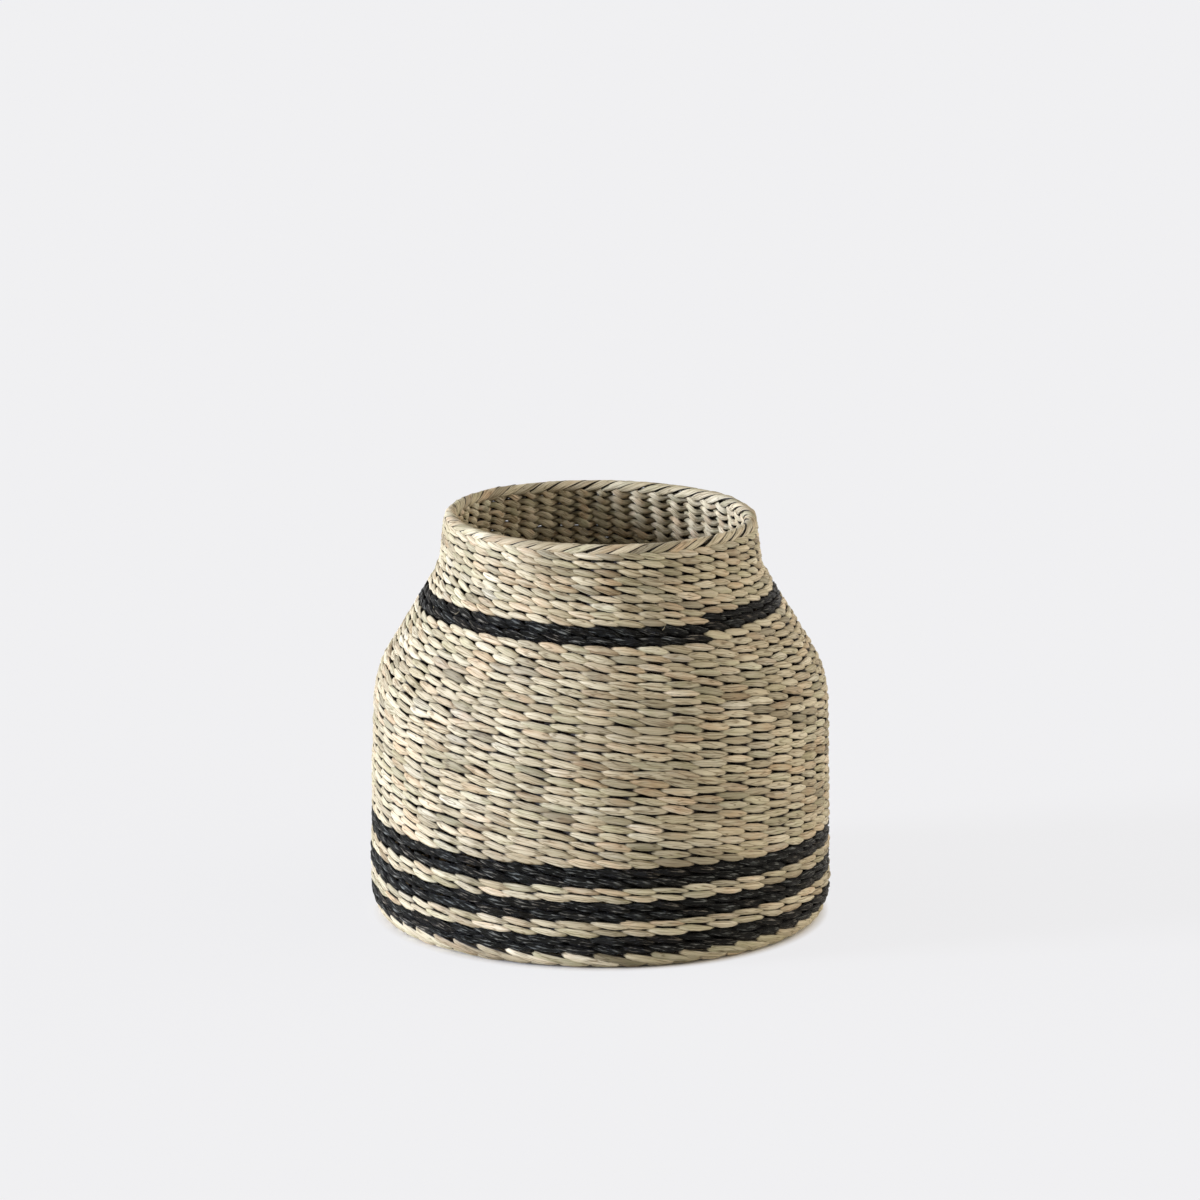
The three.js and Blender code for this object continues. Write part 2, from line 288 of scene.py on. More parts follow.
def strand_maps(body, centre, closed):
    """A piece's two maps, as spots for the four corners of every quad.

    Strand holds millimetres along each strand, and round it as far as it is where it is widest,
    so that its folds draw together at its narrow ends. OFBake lays all strands out as strips.
    """
    strands, rings, corners, _ = body.shape
    last = rings if closed else rings - 1
    steps = np.linalg.norm(np.diff(centre, axis=1), axis=-1)
    lengths = np.concatenate([np.zeros((strands, 1)), np.cumsum(steps, axis=1)], axis=1)
    closing = np.linalg.norm(centre[:, 0] - centre[:, -1], axis=-1)[:, None]
    ends = np.concatenate([lengths[:, 1:], lengths[:, -1:] + closing], axis=1)[:, :last]
    girth = np.linalg.norm(np.roll(body, -1, axis=2) - body, axis=-1).mean(axis=1)
    girth = np.concatenate([np.zeros((strands, 1)), np.cumsum(girth, axis=1)], axis=1)

    def over_quads(*values):
        return np.stack([np.broadcast_to(value, (strands, last, corners)) for value in values], axis=-1)

    start, end = lengths[:, :last, None], ends[:, :, None]
    low, high = girth[:, None, :-1], girth[:, None, 1:]
    left = np.arange(corners) * STRAND_GIRTH / corners
    right = left + STRAND_GIRTH / corners
    along = over_quads(start, start, end, end)
    around = over_quads(low, high, high, low)
    apart = STRANDS_APART * np.arange(strands)[:, None, None, None]
    fibres = np.stack([along + apart, over_quads(left, right, right, left) + apart], axis=-1)
    return ("Strand", fibres), ("OFBake", strips(along, around, lengths, girth, last))


def strips(along, around, lengths, girth, last):
    """The baking map: every strand's skin cut into runs, stacked so that they fill a square."""
    strands = len(lengths)
    length, height = float(lengths[:, -1].max()), float(girth[:, -1].max())
    folds = max(1, round(math.sqrt(length / (height * strands))))
    run = math.ceil(last / folds)
    fold = np.arange(last) // run
    firsts = lengths[:, np.minimum(np.arange(folds) * run, last - 1)]
    start = firsts[:, fold][:, :, None, None]
    longest = float((along - start).max()) * STRIP_END
    row = np.arange(strands)[:, None, None, None] * folds + fold[None, :, None, None]
    up = (row + STRIP_EDGE + (1 - 2 * STRIP_EDGE) * around / height) / (strands * folds)
    return np.stack([(along - start) / longest, up], axis=-1)


def new_object(name, data):
    """A new object, placed in the scene."""
    made = bpy.data.objects.new(name, data)
    bpy.context.scene.collection.objects.link(made)
    return made


def strand_piece(name, slot, node_names, body, centre, tints, openness, closed):
    """One piece of many strands, with its colours and its two maps, fitted to the frame.

    The colour attribute Tint holds where each spot lies on the colour ramp, its lightness, its
    hue, and in its last value how far it stands in the open, which sets its painted shade.
    """
    mesh, cap_loops = strand_mesh(name, body, closed)
    for map_name, spots in strand_maps(body, centre, closed):
        flat = np.concatenate([spots.reshape(-1, 2), np.zeros((cap_loops, 2))])
        mesh.uv_layers.new(name=map_name).data.foreach_set("uv", flat.reshape(-1).astype(np.float32))
    spread = np.broadcast_to(tints[:, :, None, :], openness.shape + (3,))
    colours = np.concatenate([spread, openness[..., None]], axis=-1)
    attribute = mesh.color_attributes.new(name="Tint", type="FLOAT_COLOR", domain="POINT")
    attribute.data.foreach_set("color", colours.reshape(-1).astype(np.float32))
    mesh.update(calc_edges=True)
    mesh.materials.append(MATERIALS[slot])
    piece = new_object(name, mesh)
    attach(piece, "root")
    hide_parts(*node_names)


def eased(values, at):
    """Values given at the middles of equal stretches round each ring, eased in between."""
    count = values.shape[1]
    spot = at * count - 0.5
    low = np.floor(spot).astype(int)
    share = spot - low
    share = share * share * (3 - 2 * share)
    return values[:, low % count] * (1 - share) + values[:, (low + 1) % count] * share


# Where along its swing a strand has its rings, in stakes from the middle of a float, and how far
# from there the float's own colour goes.
WALL_PHASES = (-0.88, -0.75, -0.62, -0.48, -0.32, -0.14, 0.14, 0.32, 0.48, 0.62, 0.75, 0.88, 1)
BASE_PHASES = (-0.8, -0.62, -0.45, -0.15, 0.15, 0.45, 0.62, 0.8, 1)
FLOAT_REACH = 0.76
WALL_CORNERS = 12
BASE_CORNERS = 8

# How openly a spot lies, which sets how much painted shade darkens its colour. A strand is on its
# crest at this step out; a corner opens as it faces outwards, or inwards, over these spans; and the
# cracks beside a float open past its middle.
CREST_OUT = 1.6
FACING_OUT = (-0.03, 0.6)
FACING_IN = (-0.1, 0.5)
INSIDE_SHARE = 0.8
PAST_MIDDLE = (0.05, 0.35)
FACING_SIDE = (-0.45, 0.0)
SIDE_CRACK_SHARE = 0.42


def open_share(corners, out, local=None):
    """How far each corner stands in the open: 1 on the crest of a float, 0 in the cracks.

    The crack between two floats of one round, past the local middle of a float, is shallower
    than the cracks between the rounds. Where the share is low, the colour is painted darker as shade.
    """
    angle = corner_angles(corners)
    facing = np.sin(angle) * np.clip(out / CREST_OUT, -1, 1)[..., None]
    share = np.maximum(smooth(facing, *FACING_OUT), INSIDE_SHARE * smooth(-np.sin(angle), *FACING_IN))
    if local is not None:
        upper = np.cos(angle) * smooth(local, *PAST_MIDDLE)[None, :, None]
        lower = -np.cos(angle) * smooth(-local, *PAST_MIDDLE)[None, :, None]
        on_float = (np.abs(local) < FLOAT_REACH)[None, :, None]
        beside = np.clip(np.maximum(upper, lower), 0, 1) * on_float
        share = np.maximum(share, SIDE_CRACK_SHARE * beside * smooth(facing, *FACING_SIDE))
    return share


# How a strand's colour drifts from float to float, how far that swings it, and how single floats
# scatter round it in colour and in lightness.
TINT_DRIFT = 0.14
TINT_SWING = 0.16
TINT_SCATTER = 0.13
LIGHT_MIDDLE = 0.55
LIGHT_SCATTER = 0.17


def float_tints(draw, strands, floats):
    """For each float its place on the colour ramp, its lightness and its hue."""
    shape = (strands, floats)
    drift = np.cumsum(draw.normal(0, TINT_DRIFT, shape), axis=1)
    drift -= np.linspace(0, 1, floats)[None, :] * drift[:, -1:]
    ramp = np.clip(0.5 + TINT_SWING * np.sin(drift * 2) + draw.normal(0, TINT_SCATTER, shape), 0, 1)
    light = np.clip(LIGHT_MIDDLE + draw.normal(0, LIGHT_SCATTER, shape), 0, 1)
    hue = draw.uniform(0, 1, shape)
    return np.stack([ramp, light, hue], axis=-1)


def weave(name, slot, node_names, closed, *, turn, distance, out, half_width, half_thickness, twist,
          grooves, tints, openness):
    """A piece of strands laid on the wall, from arrays of strands by rings."""
    points = place(turn, distance, out)
    outward = unit(place(turn, distance, out + PROBE) - points)
    body = sweep(points, outward, half_width, half_thickness, twist, grooves, closed)
    strand_piece(name, slot, node_names, body, points, tints, openness, closed)


# How uneven a hand-made float comes out: shares of its fall, its swing and its half sizes,
# millimetres of lift and of step out, stakes' spacings round the wall, and radians of twist.
UNEVEN_FALL = 0.12
UNEVEN_LIFT = 0.22
UNEVEN_SWING = 0.04
UNEVEN_OUT = 0.12
UNEVEN_WIDTH = 0.10
UNEVEN_THICKNESS = 0.08
UNEVEN_TURN = 0.04
UNEVEN_TWIST = 0.12
FOLDS_A_WAVE = 3
# A black strand is a bundle of ribbons: every other corner of its section is drawn in, and painted
# darker there as shade.
RIBBON_DEPTH = 0.3
RIBBON_SHADE = 0.6
# On the inside of the neck's bend the rounds stand further apart, so the strands spread there.
NECK_SPREAD = 0.28
NECK_SPREAD_REACH = 9.0


def twined_rounds(name, slot, rows, side, groups, phases, corners, seed, node_names, arc=None):
    """One of the two strands of each round in rows, which swing round the stakes.

    rows holds each round's middle and pitch. side is 0 or 1 for the two strands, which cross
    at every gap. groups is how many stakes, or bundles of stakes, a round passes. phases are
    where each swing has its rings. A round is a closed ring, or runs over an arc between two turns.
    """
    draw = np.random.default_rng(seed)
    waves = groups // 2
    local = np.tile(phases, waves)
    wave = np.repeat(np.arange(waves), len(phases))
    phase = 2 * wave + 1 + local
    at = phase / (2 * waves)
    middle, pitch = (np.array(column)[:, None] for column in zip(*rows))
    size = pitch / BODY_PITCH
    apart = STAKES / groups

    def scatter(amount):
        return eased(draw.normal(0, amount, (len(rows), 2 * waves)), at)

    def swing(values):
        return np.interp(np.abs(local), SWING_AT, values)[None, :]

    fall = np.sign(local) * swing(SWING_FALL) * size * (1 + scatter(UNEVEN_FALL))
    distance = middle + (scatter(UNEVEN_LIFT) - fall)
    out = swing(SWING_OUT) * (1 + scatter(UNEVEN_SWING)) + scatter(UNEVEN_OUT)
    near_neck = np.exp(-((middle - (NECK_START + NECK_END) / 2) / NECK_SPREAD_REACH) ** 2)
    spread = 1 + NECK_SPREAD * near_neck * (1 - smooth(swing(SWING_OUT), 0, CREST_OUT))
    half_width = swing(SWING_HALF_WIDTH) * size * spread * (1 + scatter(UNEVEN_WIDTH))
    half_thickness = swing(SWING_HALF_THICKNESS) * (1 + scatter(UNEVEN_THICKNESS))
    turn = (phase + side - 0.5) * apart + scatter(UNEVEN_TURN) * apart + STAKES / 2
    twist = scatter(UNEVEN_TWIST)
    grooves = soft_grooves(draw, len(rows), phase.size, corners, FOLDS_A_WAVE * waves)
    # Painted shade: the colour is darker in the cracks between floats and between rounds.
    openness = open_share(corners, out, local)
    # Painted shade in the grooves between a black strand's ribbons.
    if slot == "black_weft":
        folded = np.arange(corners) % 2
        grooves = grooves - RIBBON_DEPTH * folded
        openness = openness * (1 - RIBBON_SHADE * folded)
    float_of = 2 * wave + (local > FLOAT_REACH) - (local < -FLOAT_REACH)
    tints = float_tints(draw, len(rows), 2 * waves)[:, float_of % (2 * waves)]
    lay = {
        "turn": turn, "distance": distance, "out": out, "half_width": half_width,
        "half_thickness": half_thickness, "twist": twist, "grooves": grooves, "tints": tints,
        "openness": openness,
    }
    if arc is not None:
        first, last = np.searchsorted(phase + side - 0.5 + STAKES / 2, arc)
        lay = {measure: values[:, first:last] for measure, values in lay.items()}
    weave(name, slot, node_names, arc is None, **lay)


def srgb(red, green, blue):
    """A colour as it is seen on screen, from 0 to 255, as the linear value that a shader takes."""
    def linear(value):
        value /= 255
        return value / 12.92 if value <= 0.04045 else ((value + 0.055) / 1.055) ** 2.4
    return (linear(red), linear(green), linear(blue), 1.0)


class Nodes:
    """Short words for building a node tree."""

    def __init__(self, tree):
        self.tree = tree

    def add(self, kind, **settings):
        node = self.tree.nodes.new(kind)
        for key, value in settings.items():
            setattr(node, key, value)
        return node

    def feed(self, socket, value):
        """Set a socket to a number or colour, or link another node's output to it."""
        if isinstance(value, (int, float, tuple)):
            socket.default_value = value
        else:
            self.tree.links.new(value, socket)

    def ramp(self, value, *stops):
        """A colour ramp over a value, from pairs of a position and a colour."""
        node = self.add("ShaderNodeValToRGB")
        elements = node.color_ramp.elements
        while len(elements) < len(stops):
            elements.new(0.5)
        for element, (position, colour) in zip(elements, stops):
            element.position = position
            element.color = colour
        self.feed(node.inputs["Fac"], value)
        return node.outputs["Color"]

    def noise(self, vector, scale, detail, roughness):
        """Noise over the strand's own map, with how many waves a millimetre holds each way."""
        stretch = self.add("ShaderNodeMapping")
        self.feed(stretch.inputs["Scale"], (scale[0], scale[1], 1.0))
        self.feed(stretch.inputs["Vector"], vector)
        node = self.add("ShaderNodeTexNoise", noise_dimensions="2D")
        self.feed(node.inputs["Scale"], 1.0)
        self.feed(node.inputs["Detail"], detail)
        self.feed(node.inputs["Roughness"], roughness)
        self.feed(node.inputs["Vector"], stretch.outputs["Vector"])
        return node.outputs[0]

    def mix(self, factor, first, second, blend="MIX"):
        """Two colours mixed. The numbers are those of the node's sockets for colours."""
        node = self.add("ShaderNodeMix", data_type="RGBA", blend_type=blend)
        self.feed(node.inputs[0], factor)
        self.feed(node.inputs[6], first)
        self.feed(node.inputs[7], second)
        return node.outputs[2]

    def shade(self, base, amount, value, *stops):
        """A colour multiplied, by an amount, with a colour ramp over a value."""
        return self.mix(amount, base, self.ramp(value, *stops), "MULTIPLY")

    def span(self, value, from_low, from_high, low, high):
        """A value moved from one range to another."""
        node = self.add("ShaderNodeMapRange")
        limits = (("From Min", from_low), ("From Max", from_high), ("To Min", low), ("To Max", high))
        for socket, number in limits:
            self.feed(node.inputs[socket], number)
        self.feed(node.inputs["Value"], value)
        return node.outputs["Result"]

    def math(self, operation, first, second):
        node = self.add("ShaderNodeMath", operation=operation)
        self.feed(node.inputs[0], first)
        self.feed(node.inputs[1], second)
        return node.outputs[0]

    def blend(self, first, share, second):
        """Two values added up, the first by its share and the second by the rest."""
        rest = self.math("MULTIPLY", second, 1 - share)
        return self.math("ADD", self.math("MULTIPLY", first, share), rest)

    def crease(self, value, width):
        """0 in thin lines where a noise passes its middle, and 1 away from them."""
        off = self.math("ABSOLUTE", self.math("SUBTRACT", value, 0.5), 0.0)
        return self.span(off, 0.0, width, 0.0, 1.0)

    def bump(self, height, strength, depth):
        node = self.add("ShaderNodeBump")
        self.feed(node.inputs["Strength"], strength)
        self.feed(node.inputs["Distance"], depth * MM)
        self.feed(node.inputs["Height"], height)
        return node.outputs["Normal"]

    def strand(self):
        """The strand's map in millimetres, its tint's three numbers, and how openly a spot lies, for
        painted shade.
        """
        uv = self.add("ShaderNodeUVMap", uv_map="Strand").outputs["UV"]
        tint = self.add("ShaderNodeVertexColor", layer_name="Tint")
        split = self.add("ShaderNodeSeparateColor")
        self.feed(split.inputs["Color"], tint.outputs["Color"])
        ramp, light, hue = (split.outputs[channel] for channel in ("Red", "Green", "Blue"))
        return uv, ramp, light, hue, tint.outputs["Alpha"]


def new_material(name):
    """A material, the words for its nodes, and its shader."""
    material = bpy.data.materials.new(name)
    material.use_nodes = True
    nodes = Nodes(material.node_tree)
    shader = next(node for node in nodes.tree.nodes if node.type == "BSDF_PRINCIPLED")
    return material, nodes, shader


WHITE = (1.0, 1.0, 1.0, 1.0)
BLACK = (0.0, 0.0, 0.0, 1.0)

# Dried seagrass, from its greyest blades to its palest, and the casts over it: greenish, none,
# pinkish and brownish. Each colour has its place on a ramp.
STRAW = (
    (0.16, srgb(180, 165, 131)),
    (0.38, srgb(206, 193, 161)),
    (0.6, srgb(221, 210, 181)),
    (0.82, srgb(243, 236, 214)),
)
CASTS = (
    (0.20, srgb(222, 228, 208)),
    (0.36, srgb(250, 252, 246)),
    (0.62, srgb(252, 249, 242)),
    (0.76, srgb(252, 236, 220)),
    (0.88, srgb(238, 208, 182)),
)
DULL_FLOAT = srgb(166, 164, 158)
FIBRE = srgb(176, 162, 136)
# Painted shade: the colour along the crease lines, and the darker colour in the cracks between strands.
CREASE_SHADE = srgb(138, 120, 90)
CREVICE_SHADE = srgb(36, 26, 13)
STRAW_GLOSS = 0.4
STAKE_GLOSS = 0.05

# Dyed seagrass, from dark to light, its bluish and brownish casts, and what lies over them:
# painted glints, painted shade and worn flecks.
DYED = ((0.2, srgb(13, 13, 9)), (0.55, srgb(23, 23, 17)), (0.8, srgb(47, 47, 40)))
DYED_CASTS = ((0.0, srgb(232, 240, 248)), (0.5, WHITE), (1.0, srgb(255, 232, 212)))
# Painted highlights: pale streaks that stand for glints along the ribbons.
PAINTED_GLINT = srgb(150, 151, 142)
# Painted shade, in the cracks between dyed strands and in the grooves of their ribbons.
DYED_CREVICE_SHADE = srgb(96, 96, 92)
WORN = srgb(128, 118, 98)
DYED_GLOSS = 0.15


def natural_material(name, gloss):
    """Dried seagrass: straw to sand, with pinkish, greenish and grey blades, fibres, and painted shade in
    its folds and cracks.
    """
    material, nodes, shader = new_material(name)
    uv, ramp, light, hue, openness = nodes.strand()
    fine = nodes.noise(uv, (0.10, 3.2), 3.0, 0.62)
    blade = nodes.noise(uv, (0.035, 0.8), 2.0, 0.5)
    patch = nodes.noise(uv, (0.09, 0.30), 1.0, 0.5)
    creases = nodes.crease(nodes.noise(uv, (0.045, 0.62), 1.0, 0.4), 0.05)
    base = nodes.ramp(nodes.blend(ramp, 0.6, blade), *STRAW)
    base = nodes.shade(base, 0.65, nodes.blend(hue, 0.55, patch), *CASTS)
    base = nodes.shade(base, 1.0, light, (0.0, DULL_FLOAT), (0.66, WHITE))
    base = nodes.shade(base, 0.5, fine, (0.30, FIBRE), (0.56, WHITE))
    # Painted shade: darker along the crease lines, and darker still in the cracks between strands.
    base = nodes.shade(base, 0.75, creases, (0.0, CREASE_SHADE), (1.0, WHITE))
    base = nodes.shade(base, 1.0, openness, (0.43, CREVICE_SHADE), (0.9, WHITE))
    nodes.feed(shader.inputs["Base Color"], base)
    nodes.feed(shader.inputs["Roughness"], nodes.span(fine, 0.2, 0.8, 0.5, 0.72))
    nodes.feed(shader.inputs["Specular IOR Level"], gloss)
    height = nodes.math("ADD", nodes.math("MULTIPLY", fine, 0.35), blade)
    height = nodes.math("ADD", height, nodes.math("MULTIPLY", creases, 0.4))
    nodes.feed(shader.inputs["Normal"], nodes.bump(height, 0.8, 0.6))
    return material


def black_material(name):
    """Dyed seagrass: near black with a soft gloss along the folds, painted glints, painted shade in its
    cracks and grooves, and worn, undyed flecks.
    """
    material, nodes, shader = new_material(name)
    uv, ramp, _, hue, openness = nodes.strand()
    fine = nodes.noise(uv, (0.09, 2.6), 3.0, 0.6)
    blade = nodes.noise(uv, (0.05, 0.9), 2.0, 0.5)
    fleck = nodes.noise(uv, (0.35, 2.6), 1.0, 0.5)
    glint = nodes.noise(uv, (0.11, 1.3), 2.0, 0.6)
    base = nodes.ramp(nodes.blend(ramp, 0.4, blade), *DYED)
    # Painted highlights: pale streaks that stand for glints.
    base = nodes.mix(nodes.ramp(glint, (0.58, BLACK), (0.67, WHITE)), base, PAINTED_GLINT)
    base = nodes.shade(base, 0.8, hue, *DYED_CASTS)
    # Painted shade in the cracks and in the ribbons' grooves.
    base = nodes.shade(base, 1.0, openness, (0.2, DYED_CREVICE_SHADE), (0.9, WHITE))
    worn = nodes.ramp(fleck, (0.74, BLACK), (0.80, WHITE))
    base = nodes.mix(nodes.math("MULTIPLY", worn, 0.30), base, WORN)
    nodes.feed(shader.inputs["Base Color"], base)
    nodes.feed(shader.inputs["Roughness"], nodes.span(fine, 0.25, 0.75, 0.24, 0.46))
    nodes.feed(shader.inputs["Specular IOR Level"], DYED_GLOSS)
    height = nodes.math("ADD", nodes.math("MULTIPLY", fine, 0.7), blade)
    nodes.feed(shader.inputs["Normal"], nodes.bump(height, 1.0, 2.6))
    return material


MATERIALS = {
    "natural_weft": natural_material("NaturalSeagrass", STRAW_GLOSS),
    "black_weft": black_material("BlackSeagrass"),
    "stakes": natural_material("StakeRod", STAKE_GLOSS),
}

# Under the neck the black band steps up by one round. Its lowest round and the lowest round of the
# neck change colour there, just past the stakes behind which their strands pass.
FRONT_JOINT = 51.55
BACK_JOINT = 29.55
STEPPED_BANDS = (
    ("low", "black_band_neck", BLACK_PITCH, ("natural_weft", "black_weft", "natural_weft")),
    ("high", "neck_weft", NECK_PITCH, ("black_weft", "natural_weft", "black_weft")),
)
WALL_SEED = 100
STEP_SEED = 200


def band_rows(name, rounds, pitch):
    """The middle and the pitch of each of a band's rounds."""
    return [(start_of(name) + (index + 0.5) * pitch, pitch) for index in range(rounds)]


def make_wall():
    """The twined bands, from the foot up: two strands a round, which cross between the stakes."""
    stepped = [band for _, band, _, _ in STEPPED_BANDS]
    for order, (name, rounds, pitch, slot) in enumerate(BANDS):
        rows = band_rows(name, rounds, pitch)
        if name in stepped:
            rows = rows[1:]
        for side, letter in enumerate("ab"):
            twined_rounds(f"{name}_strand_{letter}", slot, rows, side, STAKES, WALL_PHASES, WALL_CORNERS,
                          WALL_SEED + 10 * order + side, [name])


def make_neck_step():
    """The two rounds under the neck that change colour at the joints, in three parts each."""
    for side, letter in enumerate("ab"):
        cuts = (0, BACK_JOINT + side, FRONT_JOINT + side, 2 * STAKES)
        for word, band, pitch, slots in STEPPED_BANDS:
            rows = band_rows(band, 1, pitch)
            for number, slot in enumerate(slots):
                twined_rounds(f"band_{word}_round_{letter}{number + 1}", slot, rows, side, STAKES,
                              WALL_PHASES, WALL_CORNERS, STEP_SEED + side, [band],
                              cuts[number:number + 2])


# Base: rounds from the knot outwards pass bundles of stakes, and then every stake.
BASE_PITCH = 5.5
BASE_ROUNDS = 21
BUNDLE_LIMITS = ((32.0, 12), (64.0, 24), (math.inf, 48))
BASE_SEED = 300


def make_base():
    """The base's rounds, in one piece for each strand of the rounds that pass the same bundles."""
    spans = {}
    for index in range(BASE_ROUNDS):
        radius = LONG_STAKE_START + (index + 0.5) * BASE_PITCH
        groups = next(count for limit, count in BUNDLE_LIMITS if radius < limit)
        spans.setdefault(groups, []).append((base_distance(radius), BASE_PITCH))
    for groups, rows in spans.items():
        for side, letter in enumerate("ab"):
            twined_rounds(f"base_rounds_{groups}_{letter}", "natural_weft", rows, side, groups,
                          BASE_PHASES, BASE_CORNERS, BASE_SEED + groups + side,
                          ["base_weft", "inner_weft"])


# Strands with two ends have few and shallow folds, and turn this many times to one side or other.
END_FOLDS = 3
END_FOLD_DEPTH = 0.07
END_TWISTS = 4

# The knot at the base's centre: two layers of flat strands in a plain weave. Its outer strands are
# a little shorter, each strand swings over and under the others, and its ends taper.
KNOT_STRANDS = 6
KNOT_RINGS = 36
KNOT_CORNERS = 12
KNOT_PITCH = 7.0
KNOT_REACH = 23.5
KNOT_ROUNDNESS = 0.9
KNOT_HEIGHT = 5.6
KNOT_SWING = 1.3
KNOT_SWING_SHARPNESS = 1.6
KNOT_HALF_WIDTH = 3.2
KNOT_HALF_THICKNESS = 1.1
KNOT_TAPER = 0.5
KNOT_TAPER_POWER = 8
KNOT_UNEVEN = 0.2
KNOT_WIDTHS = (0.93, 1.05)
KNOT_FACING = (-0.2, 0.6)
KNOT_SEED = 60


def make_knot():
    """The knot, in one piece for each layer."""
    draw = np.random.default_rng(KNOT_SEED)
    order = np.arange(KNOT_STRANDS)[:, None]
    slots = (order - (KNOT_STRANDS - 1) / 2) * KNOT_PITCH
    reach = np.sqrt(KNOT_REACH ** 2 - (slots * KNOT_ROUNDNESS) ** 2)
    along = np.linspace(-1, 1, KNOT_RINGS) * reach
    ends = 1 - KNOT_TAPER * (np.abs(along) / reach) ** KNOT_TAPER_POWER
    # Painted shade: the strands' edges are painted darker than their faces.
    facing = np.abs(np.sin(corner_angles(KNOT_CORNERS)))
    openness = np.broadcast_to(smooth(facing, *KNOT_FACING), along.shape + (KNOT_CORNERS,))
    for layer, letter in enumerate("ab"):
        crossing = math.pi * (along / KNOT_PITCH + order + layer + 0.5)
        height = KNOT_HEIGHT + KNOT_SWING * np.tanh(KNOT_SWING_SHARPNESS * np.sin(crossing))
        beside = np.broadcast_to(slots + draw.normal(0, KNOT_UNEVEN, slots.shape), along.shape)
        plan = (beside, along) if layer else (along, beside)
        points = np.stack([*plan, height], axis=-1)
        down = np.broadcast_to(np.array([0.0, 0.0, -1.0]), points.shape)
        half_width = KNOT_HALF_WIDTH * ends * draw.uniform(*KNOT_WIDTHS, slots.shape)
        half_thickness = KNOT_HALF_THICKNESS * ends
        grooves = soft_grooves(draw, KNOT_STRANDS, KNOT_RINGS, KNOT_CORNERS, END_FOLDS)
        body = sweep(points, down, half_width, half_thickness, np.zeros(along.shape), grooves, False)
        tints = float_tints(draw, KNOT_STRANDS, 1)
        strand_piece(f"base_knot_{letter}", "natural_weft", ["base_weft"], body, points, tints,
                     openness, False)


# The foot's wale: three thick strands, each over two stakes and then behind one. Times are stakes
# from the one over which a strand comes out, and its wave is as many stakes long as it has strands.
WALE_STRANDS = 3
WALE_CORNERS = 14
WALE_TIMES = (-0.26, -0.12, 0.02, 0.18, 0.4, 0.7, 1.0, 1.3, 1.6, 1.82, 1.98, 2.12, 2.28, 2.5, 2.62)
WALE_COMES_OUT = (-0.32, 0.3)
WALE_GOES_IN = (1.78, 2.34)
WALE_RISES = (2.1, 2.66)
WALE_FLOAT_START = -0.3
WALE_FLOAT_LENGTH = 2.6
WALE_MIDDLE = 5.95
WALE_FALL = 2.35
WALE_RISE = 1.3
WALE_OUT = 2.35
WALE_IN = 2.6
# Its half sizes at the middle of a float and at its tips, and the least share of width inside.
WALE_HALF_WIDTH = 3.05
WALE_HALF_THICKNESS = 1.75
WALE_TIP_WIDTH = 1.1
WALE_TIP_THICKNESS = 1.25
WALE_INSIDE_SHARE = 0.55
WALE_FULLNESS = 0.6
WALE_FOLDS = 60
WALE_FOLD_DEPTH = 0.12
WALE_UNEVEN_WIDTH = 0.06
WALE_UNEVEN_THICKNESS = 0.05
WALE_UNEVEN_OUT = 0.1
WALE_UNEVEN_TURN = 0.05
WALE_UNEVEN_LIFT = 0.2
WALE_UNEVEN_TWIST = 0.08
# The undersides of its floats are painted darker, as shade: the corners that face down, where a
# float has fallen.
WALE_FACING_DOWN = (0.6, 0.95)
WALE_FALLEN = (0.5, 2.5)
WALE_SEED = 70


def make_foot():
    """The foot's wale, in one piece."""
    draw = np.random.default_rng(WALE_SEED)
    turns = STAKES // WALE_STRANDS
    local = np.tile(np.array(WALE_TIMES), turns)
    phase = local + WALE_STRANDS * np.repeat(np.arange(turns), len(WALE_TIMES))

    def scatter(amount):
        return eased(draw.normal(0, amount, (WALE_STRANDS, turns * 2)), phase / STAKES)

    outside = smooth(local, *WALE_COMES_OUT) - smooth(local, *WALE_GOES_IN)
    back = smooth(local, *WALE_RISES)
    fall = 2 * WALE_FALL * ((1 - local) * (1 - back) + WALE_RISE * back)
    share = np.clip((local - WALE_FLOAT_START) / WALE_FLOAT_LENGTH, 0, 1)
    fullness = np.sin(math.pi * share) ** WALE_FULLNESS
    width_share = np.maximum(fullness, WALE_INSIDE_SHARE * (1 - outside))
    half_width = WALE_TIP_WIDTH + (WALE_HALF_WIDTH - WALE_TIP_WIDTH) * width_share
    half_width = half_width * (1 + scatter(WALE_UNEVEN_WIDTH))
    half_thickness = WALE_TIP_THICKNESS + (WALE_HALF_THICKNESS - WALE_TIP_THICKNESS) * fullness
    half_thickness = half_thickness * (1 + scatter(WALE_UNEVEN_THICKNESS))
    out = WALE_OUT - (WALE_OUT + WALE_IN) * (1 - outside) + scatter(WALE_UNEVEN_OUT)
    turn = phase + np.arange(WALE_STRANDS)[:, None] + scatter(WALE_UNEVEN_TURN) + STAKES / 2
    distance = WALE_MIDDLE + fall + scatter(WALE_UNEVEN_LIFT)
    grooves = soft_grooves(draw, WALE_STRANDS, phase.size, WALE_CORNERS, WALE_FOLDS, WALE_FOLD_DEPTH)
    float_of = np.floor((phase - WALE_FLOAT_START) / WALE_STRANDS).astype(int) % turns
    tints = float_tints(draw, WALE_STRANDS, turns)[:, float_of]
    # Painted shade on the fallen floats' undersides, on top of the painted shade in the cracks.
    under = smooth(-np.cos(corner_angles(WALE_CORNERS)), *WALE_FACING_DOWN)
    shadow = under * smooth(-fall, *WALE_FALLEN)[:, None]
    openness = open_share(WALE_CORNERS, out) * (1 - shadow)
    weave("foot_wale_strands", "natural_weft", ["foot_wale"], True, turn=turn, distance=distance, out=out,
          half_width=half_width, half_thickness=half_thickness, twist=scatter(WALE_UNEVEN_TWIST),
          grooves=grooves, tints=tints, openness=openness)


